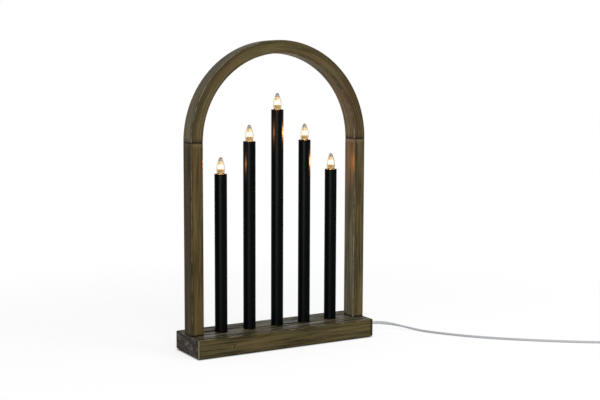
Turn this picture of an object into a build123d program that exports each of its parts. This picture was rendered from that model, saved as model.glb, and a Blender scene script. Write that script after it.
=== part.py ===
from build123d import *
import math
import os

# Electric candle arch: a row of candle lamps on a wooden base, under a round wooden arch.
# Millimetres. +Z is up, +X runs along the base to the right, and -Y faces the viewer.
# The origin is on the table, under the middle of the base.

# Wooden base board; its length follows from the arch and the overhang at each end
base_overhang = 2.0
base_depth = 80.0
base_height = 28.0
base_edge_radius = 2.0

# Felt pads under the corners of the base
pad_diameter = 16.0
pad_thickness = 1.5
pad_inset = 11.0

# Two posts and the arch, all of one section; the posts are as long as the middle candle needs
post_width = 20.0
post_depth = 28.0
lamp_headroom = 59.7
arch_width = 304.0
wood_edge_radius = 2.0
joint_chamfer = 0.6

# Dowels between the posts and the arch
dowel_diameter = 6.0
dowel_length = 30.0
dowel_spacing = 14.0
dowel_clearance = 0.05
dowel_end_gap = 1.0

# Countersunk wood screws: up into the posts, and through the cover
screw_clearance = 0.1
post_screw_diameter = 4.5
post_screw_head = 8.4
post_screw_length = 60.0
post_screw_spacing = 14.0
cover_screw_diameter = 3.0
cover_screw_head = 5.6
cover_screw_length = 12.0
cover_screw_inset = 7.0
head_recess = 0.4

# Hardboard cover that closes the wiring channel from below; it ends short of the post screws
cover_end_margin = 2.3
cover_width = 44.0
cover_thickness = 3.0
cover_corner_radius = 6.0
cover_gap = 0.3

# Candles: plastic tubes in sockets of the base, spread evenly between the posts
candle_count = 5
candle_end_gap = 35.0
centre_candle_height = 335.0
candle_step = 47.5
tube_diameter = 19.0
tube_wall = 1.2
socket_depth = 8.0
socket_clearance = 0.1

# Lamp holder in the top of each tube; depths are below the top of its flange
flange_thickness = 1.5
flange_edge_chamfer = 0.3
holder_clearance = 0.1
holder_length = 22.0
holder_floor_depth = 19.0
mouth_diameter = 12.0
mouth_depth = 3.0

# Brass screw shell and centre contact of the holder
shell_outer_diameter = 10.6
shell_length = 10.6
shell_clearance = 0.05
contact_well_diameter = 9.8
strip_thickness = 0.5
strip_width = 4.0
strip_reach = 2.5
strip_heel = 4.3
strip_lean = 1.0
tail_thickness = 0.3
tail_width = 1.6
tail_inset = 0.1
tail_overlap = 1.0
rivet_diameter = 2.4
rivet_offset = 3.0
terminal_length = 1.5

# Small screw-base lamp; heights are above the top of the holder's flange
cap_diameter = 9.5
cap_clearance = 0.06
cap_wall = 0.4
cap_length = 11.6
cap_rim_diameter = 10.0
cap_rim_height = 0.8
cap_rim_drop = 1.2
cap_floor_hole = 5.2
contact_gap = 0.05
insulator_diameter = 8.0
insulator_height = 1.5
tip_diameter = 4.0
tip_height = 0.9
tip_gap = 0.2
glass_wall = 0.7
glass_neck_clearance = 0.15
glass_neck_length = 4.0
glass_shoulder_diameter = 11.4
glass_shoulder_height = 0.3
glass_belly_diameter = 13.2
glass_belly_height = 8.5
glass_taper_diameter = 11.2
glass_taper_height = 15.0
glass_crown_diameter = 5.3
glass_crown_height = 23.4
glass_tip_height = 25.3

# Light-emitting stem inside the glass
driver_diameter = 8.2
driver_thickness = 1.0
stem_diameter = 3.2
plate_diameter = 7.6
plate_thickness = 0.8
light_start = 4.0
light_length = 12.0
rod_diameter = 1.4
rod_circle = 5.6
rod_count = 4
rod_sides = 6

# Cord: flat twin flex, drawn as a tube of the same section, with its inner wires
cord_diameter = 4.2
cord_sides = 8
cord_height = 12.5
cord_hole_clearance = 0.4
cord_clamp_gap = 0.05
cord_inner_margin = 3.5
cord_floor_gap = 0.1
wire_diameter = 1.8
wire_sides = 6
wire_pitch = 2.3
wire_bend_radius = 3.0
wire_hole_diameter = 16.0
channel_width = 18.0
channel_margin = 10.0

# Cord clamp in its pocket, with two pan-head screws
pocket_end_margin = 1.0
pocket_length = 13.0
pocket_width = 30.0
clamp_length = 8.0
clamp_width = 27.0
clamp_thickness = 6.5
clamp_corner_radius = 2.0
clamp_screw_spacing = 18.0
clamp_screw_diameter = 3.0
clamp_screw_grip = 6.0
clamp_screw_head = 5.6
clamp_screw_head_height = 2.0
clamp_screw_head_chamfer = 0.8

# Coil of the cord's spare length: half turns that spiral in, climb and spiral out
coil_outer_radius = 40.0
coil_gap = 0.45
turns_in = 6
turns_out = 5
coil_tail = 24.0
tie_thickness = 0.4
tie_gap = 0.3
tie_width = 6.0
tie_corner_radius = 1.2

# Two-pin plug
plug_seat_gap = 0.02
relief_length = 22.0
relief_small_diameter = 7.0
relief_large_diameter = 10.0
plug_neck_width = 14.0
plug_width = 35.0
plug_flare = 18.0
plug_length = 30.0
plug_side = 4.0
plug_flat_width = 24.0
pin_diameter = 4.0
pin_length = 19.0
pin_spacing = 18.6
pin_nose_radius = 1.2
pin_root_diameter = 3.0
pin_root_length = 6.0
pin_root_clearance = 0.05

# Heights and places that follow from these sizes
base_length = arch_width + 2 * base_overhang
base_end = base_length / 2
candle_pitch = (arch_width - 2 * post_width - 2 * candle_end_gap) / (candle_count - 1)
base_bottom = pad_thickness
base_top = base_bottom + base_height
arch_opening = arch_width / 2 - post_width
post_length = centre_candle_height + glass_tip_height + lamp_headroom - arch_opening
spring_line = base_top + post_length
middle_radius = (arch_width - post_width) / 2
cover_length = 2 * (middle_radius - post_screw_head / 2 - head_recess - screw_clearance - cover_end_margin)
pocket_start = cover_length / 2 - pocket_end_margin - pocket_length
cord_inner_end = pocket_start + cord_inner_margin
socket_floor = base_top - socket_depth
cover_top = base_bottom + cover_thickness
cord_radius = cord_diameter / 2
cord_axis = base_bottom + cord_height
channel_ceiling = cord_axis + cord_radius + cord_clamp_gap
tube_radius = tube_diameter / 2
tube_bore_radius = tube_radius - tube_wall
shell_bore_radius = cap_diameter / 2 + cap_clearance
shell_bottom = mouth_depth + shell_length
terminal_depth = holder_length + terminal_length
cap_bottom = cap_length + cap_rim_drop
cap_bore_radius = cap_diameter / 2 - cap_wall
tip_bottom = cap_bottom + contact_gap + insulator_height + tip_height
tail_middle = shell_bore_radius + tail_inset + tail_thickness / 2
coil_low = tie_thickness + tie_gap + cord_radius
coil_high = coil_low + cord_diameter + coil_gap
coil_pitch = cord_diameter + coil_gap
plug_thickness = 2 * coil_high
cord_lie = cord_radius + cord_floor_gap

# The cord's route from inside the base to its coil
cord_route = [
    (cord_inner_end, 0, cord_axis),
    (base_end - 7, 0, cord_axis),
    (base_end + 16, -0.4, cord_axis - 0.2),
    (base_end + 40, -3.2, cord_axis - 1.6),
    (base_end + 61, -11.5, 8.8),
    (base_end + 77, -26, 4.6),
    (base_end + 87.5, -46, cord_lie),
    (base_end + 100, -71, cord_lie),
    (base_end + 118, -100, cord_lie),
    (base_end + 142, -132, cord_lie),
    (base_end + 174, -165, cord_lie),
    (base_end + 211, -198, cord_lie),
    (base_end + 252, -231, cord_lie),
    (base_end + 295, -263, coil_low),
    (base_end + 333, -289, coil_low),
]
arc_share = 0.45
heading = (Vector(cord_route[-1]) - Vector(cord_route[-2])).normalized()
coil_plane = Plane(
    (cord_route[-1][0], cord_route[-1][1], 0), x_dir=(heading.Y, -heading.X, 0), z_dir=(0, 0, 1)
)
coil_start = cord_diameter
plug_start = coil_start + coil_tail + plug_seat_gap

candle_numbers = range(1, candle_count + 1)
middle_candle = (candle_count + 1) / 2
pad_places = [
    (side_x * (base_length / 2 - pad_inset), side_y * (base_depth / 2 - pad_inset))
    for side_x in (-1, 1)
    for side_y in (-1, 1)
]
dowel_places = [
    (side_x * middle_radius, side_y * dowel_spacing / 2) for side_x in (-1, 1) for side_y in (-1, 1)
]
post_screw_places = [
    (side_x * middle_radius, side_y * post_screw_spacing / 2)
    for side_x in (-1, 1)
    for side_y in (-1, 1)
]
cover_screw_places = [
    (
        side_x * (cover_length / 2 - cover_screw_inset),
        side_y * (cover_width / 2 - cover_screw_inset),
    )
    for side_x in (-1, 1)
    for side_y in (-1, 1)
]
clamp_middle = cord_inner_end + clamp_length / 2
clamp_screw_places = [(clamp_middle, side * clamp_screw_spacing / 2) for side in (-1, 1)]


def candle_x(number):
    """How far along the base a candle stands."""
    return (number - middle_candle) * candle_pitch


def candle_top(number):
    """Height of the top of a candle's lamp holder: the middle candle is the tallest."""
    return base_top + centre_candle_height - abs(number - middle_candle) * candle_step


def upright(x, y, z):
    """A vertical sketch plane that faces the viewer, with its origin at a point."""
    return Plane((x, y, z), x_dir=(1, 0, 0), z_dir=(0, -1, 0))


def from_below(x, y, z):
    """A plane on an underside, for holes that go up into the part."""
    return Plane((x, y, z), x_dir=(1, 0, 0), z_dir=(0, 0, -1))


def save(piece, name):
    """Labels a finished piece and writes its file."""
    piece.label = name
    export_step(piece, f"parts/{name}.step")


def base_board():
    channel_start = candle_x(1) - channel_margin
    with BuildPart() as board:
        with BuildSketch(Plane.XY.offset(base_bottom)):
            Rectangle(base_length, base_depth)
        extrude(amount=base_height)
        fillet(board.edges(), base_edge_radius)
        with BuildSketch(Plane.XY.offset(base_top)):
            with Locations(*[(candle_x(number), 0) for number in candle_numbers]):
                Circle(tube_radius + socket_clearance)
        extrude(amount=-socket_depth, mode=Mode.SUBTRACT)
        with BuildSketch(Plane.XY.offset(base_bottom)):
            RectangleRounded(
                cover_length + 2 * cover_gap, cover_width + 2 * cover_gap, cover_corner_radius + cover_gap
            )
        extrude(amount=cover_thickness, mode=Mode.SUBTRACT)
        with BuildSketch(Plane.XY.offset(cover_top)):
            with Locations(((channel_start + pocket_start) / 2, 0)):
                Rectangle(pocket_start - channel_start, channel_width)
            with Locations((pocket_start + pocket_length / 2, 0)):
                Rectangle(pocket_length, pocket_width)
        extrude(amount=channel_ceiling - cover_top, mode=Mode.SUBTRACT)
        with BuildSketch(Plane.XY.offset(socket_floor)):
            with Locations(*[(candle_x(number), 0) for number in candle_numbers]):
                Circle(wire_hole_diameter / 2)
        extrude(amount=channel_ceiling - socket_floor, mode=Mode.SUBTRACT)
        with BuildSketch(Plane.YZ.offset(base_end)):
            with Locations((0, cord_axis)):
                Circle(cord_radius + cord_hole_clearance)
        extrude(amount=pocket_start + pocket_length - base_end, mode=Mode.SUBTRACT)
        with Locations(*[from_below(x, y, base_bottom) for x, y in post_screw_places]):
            CounterSinkHole(
                post_screw_diameter / 2 + screw_clearance,
                post_screw_head / 2 + head_recess + screw_clearance,
                base_height,
                counter_sink_angle=90,
            )
        with Locations(*[from_below(x, y, cover_top) for x, y in cover_screw_places]):
            Hole(
                cover_screw_diameter / 2 + screw_clearance,
                cover_screw_length + head_recess - cover_thickness + screw_clearance,
            )
        with Locations(*[from_below(x, y, channel_ceiling) for x, y in clamp_screw_places]):
            Hole(clamp_screw_diameter / 2 + screw_clearance, clamp_screw_grip + screw_clearance)
    return board.part


def post(side):
    with BuildPart() as upright_post:
        with BuildSketch(Plane.XY.offset(base_top)):
            with Locations((side * middle_radius, 0)):
                RectangleRounded(post_width, post_depth, wood_edge_radius)
        extrude(amount=post_length)
        chamfer(upright_post.faces().filter_by(Axis.Z).edges(), joint_chamfer)
        with Locations(*[(x, y, spring_line) for x, y in dowel_places if x * side > 0]):
            Cylinder(
                dowel_diameter / 2 + dowel_clearance,
                dowel_length + 2 * dowel_end_gap,
                mode=Mode.SUBTRACT,
            )
        with Locations(*[from_below(x, y, base_top) for x, y in post_screw_places if x * side > 0]):
            Hole(
                post_screw_diameter / 2 + screw_clearance,
                post_screw_length + head_recess - base_height + screw_clearance,
            )
    return upright_post.part


def arch():
    with BuildPart() as half_ring:
        with BuildSketch(Plane.XY.offset(spring_line)):
            with Locations((middle_radius, 0)):
                RectangleRounded(post_width, post_depth, wood_edge_radius)
        revolve(axis=Axis((0, 0, spring_line), (0, -1, 0)), revolution_arc=180)
        chamfer(half_ring.faces().filter_by(Plane.XY).edges(), joint_chamfer)
        with Locations(*[(x, y, spring_line) for x, y in dowel_places]):
            Cylinder(
                dowel_diameter / 2 + dowel_clearance,
                dowel_length + 2 * dowel_end_gap,
                mode=Mode.SUBTRACT,
            )
    return half_ring.part


def arch_dowels():
    with BuildPart() as dowels:
        for x, y in dowel_places:
            with BuildSketch(Plane((x, y, spring_line - dowel_length / 2))):
                Circle(dowel_diameter / 2)
            extrude(amount=dowel_length)
        chamfer(dowels.faces().filter_by(Axis.Z).edges(), joint_chamfer)
    return dowels.part


def countersunk_screws(places, head, diameter, length):
    """Wood screws with their heads sunk into the underside, pointing up."""
    point = 2 * diameter
    with BuildPart() as screws:
        for x, y in places:
            with BuildSketch(upright(x, y, base_bottom + head_recess)):
                with BuildLine():
                    Polyline(
                        (0, 0),
                        (head / 2, 0),
                        (diameter / 2, (head - diameter) / 2),
                        (diameter / 2, length - point),
                        (0, length),
                        close=True,
                    )
                make_face()
            revolve(axis=Axis((x, y, 0), (0, 0, 1)))
    return screws.part


def bottom_cover():
    with BuildPart() as cover:
        with BuildSketch(Plane.XY.offset(base_bottom)):
            RectangleRounded(cover_length, cover_width, cover_corner_radius)
        extrude(amount=cover_thickness)
        with Locations(*[from_below(x, y, base_bottom) for x, y in cover_screw_places]):
            CounterSinkHole(
                cover_screw_diameter / 2 + screw_clearance,
                cover_screw_head / 2 + head_recess + screw_clearance,
                cover_thickness,
                counter_sink_angle=90,
            )
    return cover.part


def felt_pads():
    with BuildPart() as pads:
        with BuildSketch():
            with Locations(*pad_places):
                Circle(pad_diameter / 2)
        extrude(amount=pad_thickness)
    return pads.part


def cord_clamp():
    groove_radius = cord_radius + cord_clamp_gap
    with BuildPart() as clamp:
        with BuildSketch(Plane.YZ.offset(clamp_middle - clamp_length / 2)):
            with Locations((0, channel_ceiling - clamp_thickness / 2)):
                RectangleRounded(clamp_width, clamp_thickness, clamp_corner_radius)
            with Locations((0, cord_axis)):
                Circle(groove_radius, mode=Mode.SUBTRACT)
            with Locations((0, channel_ceiling)):
                Rectangle(2 * groove_radius, 2 * (channel_ceiling - cord_axis), mode=Mode.SUBTRACT)
        extrude(amount=clamp_length)
        clamp_floor = channel_ceiling - clamp_thickness
        with Locations(*[from_below(x, y, clamp_floor) for x, y in clamp_screw_places]):
            Hole(clamp_screw_diameter / 2 + screw_clearance, clamp_thickness)
    return clamp.part


def clamp_screws():
    head_top = channel_ceiling - clamp_thickness
    with BuildPart() as screws:
        with BuildSketch(Plane.XY.offset(head_top)):
            with Locations(*clamp_screw_places):
                Circle(clamp_screw_head / 2)
        extrude(amount=-clamp_screw_head_height)
        with BuildSketch(Plane.XY.offset(head_top)):
            with Locations(*clamp_screw_places):
                Circle(clamp_screw_diameter / 2)
        extrude(amount=clamp_thickness + clamp_screw_grip)
        chamfer(screws.edges().group_by(Axis.Z)[0], clamp_screw_head_chamfer)
    return screws.part


def candle_tube(number):
    with BuildPart() as tube:
        with BuildSketch(Plane((candle_x(number), 0, socket_floor))):
            Circle(tube_radius)
            Circle(tube_bore_radius, mode=Mode.SUBTRACT)
        extrude(amount=candle_top(number) - flange_thickness - socket_floor)
    return tube.part


def lamp_holder(number):
    x = candle_x(number)
    top = candle_top(number)
    body_radius = tube_bore_radius - holder_clearance
    shell_seat_radius = shell_outer_diameter / 2 + shell_clearance
    slot_depth = holder_length - shell_bottom
    with BuildPart() as holder:
        with BuildSketch(upright(x, 0, top)):
            with BuildLine():
                Polyline(
                    (mouth_diameter / 2, 0),
                    (tube_radius, 0),
                    (tube_radius, -flange_thickness),
                    (body_radius, -flange_thickness),
                    (body_radius, -holder_length),
                    (0, -holder_length),
                    (0, -holder_floor_depth),
                    (contact_well_diameter / 2, -holder_floor_depth),
                    (contact_well_diameter / 2, -shell_bottom),
                    (shell_seat_radius, -shell_bottom),
                    (shell_seat_radius, -mouth_depth),
                    (mouth_diameter / 2, -mouth_depth),
                    close=True,
                )
            make_face()
        revolve(axis=Axis((x, 0, 0), (0, 0, 1)))
        chamfer(holder.edges().group_by(Axis.Z)[-1].sort_by(SortBy.RADIUS)[-1], flange_edge_chamfer)
        with Locations((x - tail_middle, 0, top - shell_bottom)):
            Box(
                tail_thickness + 2 * shell_clearance,
                tail_width + 2 * shell_clearance,
                2 * slot_depth,
                mode=Mode.SUBTRACT,
            )
        with Locations(from_below(x + rivet_offset, 0, top - holder_length)):
            Hole(rivet_diameter / 2 + shell_clearance, holder_length - holder_floor_depth)
    return holder.part


def thread_shell(number):
    x = candle_x(number)
    top = candle_top(number)
    tail_top = top - shell_bottom + tail_overlap
    with BuildPart() as shell:
        with BuildSketch(Plane((x, 0, top - shell_bottom))):
            Circle(shell_outer_diameter / 2)
            Circle(shell_bore_radius, mode=Mode.SUBTRACT)
        extrude(amount=shell_length)
        with BuildSketch(Plane((x - tail_middle, 0, top - terminal_depth))):
            Rectangle(tail_thickness, tail_width)
        extrude(amount=tail_top - top + terminal_depth)
    return shell.part


def contact_spring(number):
    x = candle_x(number)
    top = candle_top(number)
    low = -holder_floor_depth
    high = -tip_bottom - tip_gap - strip_thickness
    slope_start = rivet_offset - rivet_diameter / 2
    slope_end = slope_start - strip_lean
    with BuildPart() as spring:
        with BuildSketch(upright(x, -strip_width / 2, top)):
            with BuildLine():
                Polyline(
                    (strip_heel, low),
                    (strip_heel, low + strip_thickness),
                    (slope_start + strip_thickness, low + strip_thickness),
                    (slope_end + strip_thickness, high + strip_thickness),
                    (-strip_reach, high + strip_thickness),
                    (-strip_reach, high),
                    (slope_end, high),
                    (slope_start, low),
                    close=True,
                )
            make_face()
        extrude(amount=-strip_width)
        with BuildSketch(Plane((x + rivet_offset, 0, top - terminal_depth))):
            Circle(rivet_diameter / 2)
        extrude(amount=terminal_depth - holder_floor_depth + strip_thickness)
    return spring.part


def bulb_cap(number):
    x = candle_x(number)
    rim_top = -cap_rim_drop
    with BuildPart() as cap:
        with BuildSketch(upright(x, 0, candle_top(number))):
            with BuildLine():
                Polyline(
                    (cap_floor_hole / 2, -cap_bottom),
                    (cap_diameter / 2, -cap_bottom),
                    (cap_diameter / 2, rim_top - cap_rim_height),
                    (cap_rim_diameter / 2, rim_top),
                    (cap_rim_diameter / 2 - cap_wall, rim_top),
                    (cap_bore_radius, rim_top - cap_rim_height),
                    (cap_bore_radius, -cap_bottom + cap_wall),
                    (cap_floor_hole / 2, -cap_bottom + cap_wall),
                    close=True,
                )
            make_face()
        revolve(axis=Axis((x, 0, 0), (0, 0, 1)))
    return cap.part


def bulb_contact(number):
    x = candle_x(number)
    insulator_top = -cap_bottom - contact_gap
    tip_top = insulator_top - insulator_height
    with BuildPart() as contact:
        with BuildSketch(upright(x, 0, candle_top(number))):
            with BuildLine():
                Polyline(
                    (0, insulator_top),
                    (insulator_diameter / 2, insulator_top),
                    (tip_diameter / 2, tip_top),
                    (tip_diameter / 2, tip_top - tip_height),
                    (0, tip_top - tip_height),
                    close=True,
                )
            make_face()
        revolve(axis=Axis((x, 0, 0), (0, 0, 1)))
    return contact.part


def bulb_glass(number):
    x = candle_x(number)
    neck_radius = cap_bore_radius - glass_neck_clearance
    neck_bottom = -cap_rim_drop - glass_neck_length
    neck_top = -cap_rim_drop + cap_rim_height / 2
    rising = (0, 1)
    falling = (0, -1)
    outward = (1, 0)
    with BuildPart() as glass:
        with BuildSketch(upright(x, 0, candle_top(number))):
            for wall, mode in ((0, Mode.ADD), (glass_wall, Mode.SUBTRACT)):
                shoulder = (glass_shoulder_diameter / 2 - wall, glass_shoulder_height)
                belly = (glass_belly_diameter / 2 - wall, glass_belly_height)
                taper = (glass_taper_diameter / 2 - wall, glass_taper_height)
                crown = (glass_crown_diameter / 2 - wall, glass_crown_height - wall / 2)
                with BuildLine():
                    TangentArc(belly, shoulder, tangent=falling)
                    TangentArc(belly, taper, tangent=rising)
                    Line(taper, crown)
                    tip = TangentArc((0, glass_tip_height - wall), crown, tangent=outward)
                    Polyline(
                        tip @ 0,
                        (0, neck_bottom),
                        (neck_radius - wall, neck_bottom),
                        (neck_radius - wall, neck_top),
                        shoulder,
                    )
                make_face(mode=mode)
        revolve(axis=Axis((x, 0, 0), (0, 0, 1)))
    return glass.part


def bulb_led(number):
    x = candle_x(number)
    top = candle_top(number)
    driver_bottom = top - cap_bottom + cap_wall
    rods_bottom = top + light_start
    with BuildPart() as led:
        with BuildSketch(Plane((x, 0, driver_bottom))):
            Circle(driver_diameter / 2)
        extrude(amount=driver_thickness)
        with BuildSketch(Plane((x, 0, driver_bottom))):
            Circle(stem_diameter / 2)
        extrude(amount=rods_bottom - driver_bottom)
        with BuildSketch(Plane((x, 0, rods_bottom))) as plate:
            Circle(plate_diameter / 2)
        extrude(amount=-plate_thickness)
        extrude(plate.sketch.moved(Location((0, 0, light_length))), amount=plate_thickness)
        with BuildSketch(Plane((x, 0, rods_bottom))):
            with PolarLocations(rod_circle / 2, rod_count):
                RegularPolygon(rod_diameter / 2, rod_sides)
        extrude(amount=light_length)
    return led.part


def wires(routes):
    """Insulated single wires along routes of straight runs with rounded bends."""
    with BuildPart() as bundle:
        for route in routes:
            with BuildLine() as path:
                FilletPolyline(*route, radius=wire_bend_radius)
            with BuildSketch(Plane(path.line @ 0, z_dir=path.line % 0)):
                RegularPolygon(wire_diameter / 2, wire_sides)
            sweep()
    return bundle.part


def terminal(number, offset):
    """Where a wire meets a terminal under a candle's lamp holder."""
    return candle_x(number) + offset, 0, candle_top(number) - terminal_depth


def link_routes():
    """Wires that link each lamp holder to the next, in series."""
    level = cord_axis + wire_pitch / 2
    routes = []
    for number in list(candle_numbers)[:-1]:
        start = terminal(number, rivet_offset)
        end = terminal(number + 1, -tail_middle)
        routes.append([start, (start[0], 0, level), (end[0], 0, level), end])
    return routes


def supply_routes():
    """Wires from the cord's two cores to the last and the first lamp holder."""
    high = cord_axis + wire_pitch / 2
    low = cord_axis - wire_pitch / 2
    near = terminal(candle_count, rivet_offset)
    far = terminal(1, -tail_middle)
    return [
        [(cord_inner_end, 0, high), (near[0], 0, high), near],
        [(cord_inner_end, 0, low), (far[0], 0, low), far],
    ]


def corner_radii(points):
    """Fillet radii as large as the runs beside each corner allow."""
    radii = []
    for before, corner, after in zip(points, points[1:], points[2:]):
        run_in = Vector(corner) - Vector(before)
        run_out = Vector(after) - Vector(corner)
        half_turn = math.radians(run_in.get_angle(run_out)) / 2
        radii.append(arc_share * min(run_in.length, run_out.length) / math.tan(half_turn))
    return radii


def cord_lead():
    radii = corner_radii(cord_route)
    print("cord radii", [round(radius) for radius in radii])
    with BuildPart() as lead:
        with BuildLine() as path:
            FilletPolyline(*cord_route, radius=radii)
        with BuildSketch(Plane(path.line @ 0, z_dir=path.line % 0)) as section:
            RegularPolygon(cord_radius, cord_sides)
        sweep()
    length = path.wire().length
    print("cord lead length", round(length, 1))
    print("cord lead volume over section times length", lead.part.volume / (section.sketch.area * length))
    return lead.part


def least_gap(line):
    """The smallest clear space between two stretches of a wound tube."""
    samples = 900
    points = [tuple(line @ (index / samples)) for index in range(samples + 1)]
    apart = math.ceil(4 * cord_diameter / line.length * samples)
    nearest = min(
        math.dist(first, second)
        for index, first in enumerate(points)
        for second in points[index + apart :]
    )
    return nearest - cord_diameter


def cord_coil():
    with BuildPart() as coil:
        with BuildLine(coil_plane) as path:
            Line((0, 0, coil_low), (0, coil_start, coil_low))
            x = 0.0
            side = 1
            for turn in range(turns_in + 1 + turns_out):
                climbs = turn == turns_in
                start_height = coil_low if turn <= turns_in else coil_high
                end_height = coil_low if turn < turns_in else coil_high
                radius = coil_outer_radius - (turns_in - abs(turn - turns_in)) * coil_pitch / 2
                end_x = x - 2 * side * radius
                crest = (coil_low + coil_high) / 2 if climbs else start_height
                ThreePointArc(
                    (x, coil_start, start_height),
                    ((x + end_x) / 2, coil_start + side * radius, crest),
                    (end_x, coil_start, end_height),
                )
                x = end_x
                side = -side
            Line((x, coil_start, coil_high), (x, coil_start + coil_tail, coil_high))
        with BuildSketch(Plane(path.line @ 0, z_dir=path.line % 0)) as section:
            RegularPolygon(cord_radius, cord_sides)
        sweep()
    length = path.wire().length
    print("cord coil length", round(length, 1), "least gap", round(least_gap(path.wire()), 3))
    print("cord coil volume over section times length", coil.part.volume / (section.sketch.area * length))
    return coil.part


def cord_tie():
    """A band round all turns, on the side of the coil where each layer has as many."""
    inner_turn = coil_outer_radius - (turns_in - 1) * coil_pitch / 2 - cord_radius
    off_crest = (coil_pitch + tie_width) / 2
    outer = coil_outer_radius - coil_pitch / 2 + cord_radius + tie_gap
    inner = math.sqrt(inner_turn**2 - off_crest**2) - tie_gap
    bottom = coil_low - cord_radius - tie_gap
    top = coil_high + cord_radius + tie_gap
    middle = coil_plane.from_local_coords(
        (-coil_outer_radius, coil_start - (outer + inner) / 2, (bottom + top) / 2)
    )
    with BuildPart() as tie:
        with BuildSketch(Plane(middle, x_dir=coil_plane.y_dir, z_dir=coil_plane.x_dir)):
            RectangleRounded(
                outer - inner + 2 * tie_thickness,
                top - bottom + 2 * tie_thickness,
                tie_corner_radius + tie_thickness,
            )
            RectangleRounded(outer - inner, top - bottom, tie_corner_radius, mode=Mode.SUBTRACT)
        extrude(amount=tie_width / 2, both=True)
    return tie.part


def plug_end(distance):
    """A plane across the plug's axis, that far from the end of the cord."""
    origin = coil_plane.from_local_coords((0, plug_start + distance, coil_high))
    return Plane(origin, x_dir=coil_plane.x_dir, z_dir=coil_plane.y_dir)


def plug_body():
    shoulder = plug_start + relief_length
    front = shoulder + plug_length
    with BuildPart() as body:
        with BuildSketch(coil_plane):
            with BuildLine():
                Polyline(
                    (-plug_neck_width / 2, shoulder),
                    (plug_neck_width / 2, shoulder),
                    (plug_width / 2, shoulder + plug_flare),
                    (plug_width / 2, front),
                    (-plug_width / 2, front),
                    (-plug_width / 2, shoulder + plug_flare),
                    close=True,
                )
            make_face()
        extrude(amount=plug_thickness)
        with BuildSketch(plug_end(relief_length)):
            with BuildLine():
                Polyline(
                    (plug_width / 2, plug_side / 2),
                    (plug_flat_width / 2, plug_thickness / 2),
                    (-plug_flat_width / 2, plug_thickness / 2),
                    (-plug_width / 2, plug_side / 2),
                    (-plug_width / 2, -plug_side / 2),
                    (-plug_flat_width / 2, -plug_thickness / 2),
                    (plug_flat_width / 2, -plug_thickness / 2),
                    (plug_width / 2, -plug_side / 2),
                    close=True,
                )
            make_face()
        extrude(amount=plug_length, mode=Mode.INTERSECT)
        with BuildSketch(plug_end(0)):
            Circle(relief_small_diameter / 2)
        with BuildSketch(plug_end(relief_length)):
            Circle(relief_large_diameter / 2)
        loft()
        with BuildSketch(plug_end(relief_length + plug_length)):
            with GridLocations(pin_spacing, 0, 2, 1):
                Circle(pin_root_diameter / 2 + pin_root_clearance)
        extrude(amount=-pin_root_length, mode=Mode.SUBTRACT)
    return body.part


def plug_pins():
    with BuildPart() as pins:
        with BuildSketch(plug_end(relief_length + plug_length)):
            with GridLocations(pin_spacing, 0, 2, 1):
                Circle(pin_diameter / 2)
        extrude(amount=pin_length)
        nose = pins.edges().sort_by(Axis(plug_end(0).origin, coil_plane.y_dir))[-2:]
        fillet(nose, pin_nose_radius)
        with BuildSketch(plug_end(relief_length + plug_length)):
            with GridLocations(pin_spacing, 0, 2, 1):
                Circle(pin_root_diameter / 2)
        extrude(amount=-pin_root_length)
    return pins.part


os.makedirs("parts", exist_ok=True)
save(base_board(), "base_board")
save(post(-1), "left_post")
save(post(1), "right_post")
save(arch(), "arch")
save(arch_dowels(), "arch_dowels")
save(
    countersunk_screws(post_screw_places, post_screw_head, post_screw_diameter, post_screw_length),
    "post_screws",
)
save(bottom_cover(), "bottom_cover")
save(
    countersunk_screws(cover_screw_places, cover_screw_head, cover_screw_diameter, cover_screw_length),
    "cover_screws",
)
save(felt_pads(), "felt_pads")
save(cord_clamp(), "cord_clamp")
save(clamp_screws(), "clamp_screws")
save(wires(link_routes()), "link_wires")
save(wires(supply_routes()), "supply_wires")
for number in candle_numbers:
    save(candle_tube(number), f"candle_tube_{number}")
    save(lamp_holder(number), f"lamp_holder_{number}")
    save(thread_shell(number), f"thread_shell_{number}")
    save(contact_spring(number), f"contact_spring_{number}")
    save(bulb_cap(number), f"bulb_cap_{number}")
    save(bulb_contact(number), f"bulb_contact_{number}")
    save(bulb_glass(number), f"bulb_glass_{number}")
    save(bulb_led(number), f"bulb_led_{number}")
save(cord_lead(), "cord_lead")
save(cord_coil(), "cord_coil")
save(cord_tie(), "cord_tie")
save(plug_body(), "plug_body")
save(plug_pins(), "plug_pins")
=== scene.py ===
import math

import bmesh
import bpy
from mathutils import Matrix, Vector


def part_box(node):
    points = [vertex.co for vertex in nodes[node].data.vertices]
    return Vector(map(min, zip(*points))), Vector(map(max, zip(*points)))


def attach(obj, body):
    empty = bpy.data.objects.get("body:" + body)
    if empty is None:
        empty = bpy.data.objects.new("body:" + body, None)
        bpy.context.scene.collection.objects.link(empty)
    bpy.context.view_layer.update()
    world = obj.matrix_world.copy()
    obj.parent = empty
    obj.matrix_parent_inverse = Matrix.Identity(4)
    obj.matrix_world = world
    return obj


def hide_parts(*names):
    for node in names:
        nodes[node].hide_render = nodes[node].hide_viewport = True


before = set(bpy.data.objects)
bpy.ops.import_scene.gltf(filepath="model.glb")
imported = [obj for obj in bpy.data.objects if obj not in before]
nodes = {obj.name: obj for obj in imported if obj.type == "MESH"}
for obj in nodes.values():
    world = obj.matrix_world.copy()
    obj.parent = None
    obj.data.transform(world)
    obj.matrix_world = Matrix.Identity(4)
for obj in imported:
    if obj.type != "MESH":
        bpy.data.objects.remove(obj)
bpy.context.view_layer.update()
scene = bpy.context.scene
scene.view_settings.view_transform = "Standard"

# Sizes of the part that several sections use, in metres
CANDLES = range(1, 6)
BASE_HALF = (0.154, 0.040, 0.014)
BASE_MIDDLE = 0.0155
BASE_TOP = 0.0295
SPRING_LINE = 0.3175
MIDDLE_RADIUS = 0.142
SECTION_HALF = (0.010, 0.014)
WHITE = (1, 1, 1)

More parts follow.
